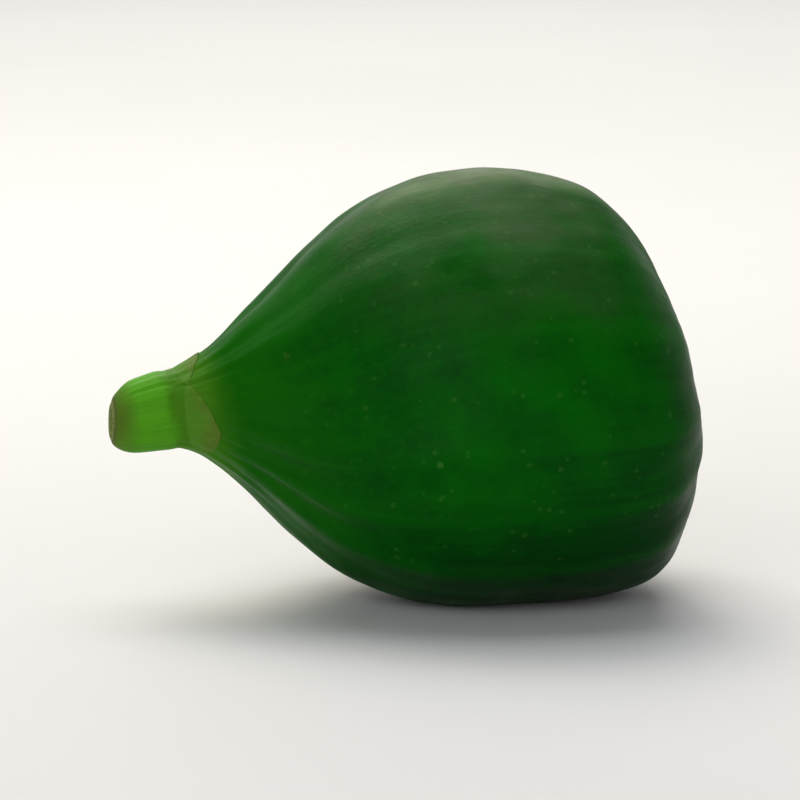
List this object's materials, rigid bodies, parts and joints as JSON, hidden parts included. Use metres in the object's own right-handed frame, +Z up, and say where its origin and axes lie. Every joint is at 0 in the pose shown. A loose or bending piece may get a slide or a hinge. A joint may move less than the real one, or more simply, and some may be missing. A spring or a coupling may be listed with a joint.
{
  "type": "green fig",
  "caption": "Whole green fig lying on its side, with a ribbed neck, a cut stub of stalk, basal bracts round the collar and a scaly eye.",
  "frame": {"origin": "on the resting plane, under the middle of the fig's bounding box", "axes": "+X from the stalk to the eye, +Z up from the surface it lies on, +Y completes the right-handed frame"},
  "size_m": [0.0478, 0.037, 0.0352],
  "materials": {
    "skin": "satin"
  },
  "bodies": {
    "root": {"fig": "skin"}
  },
  "joints": []
}
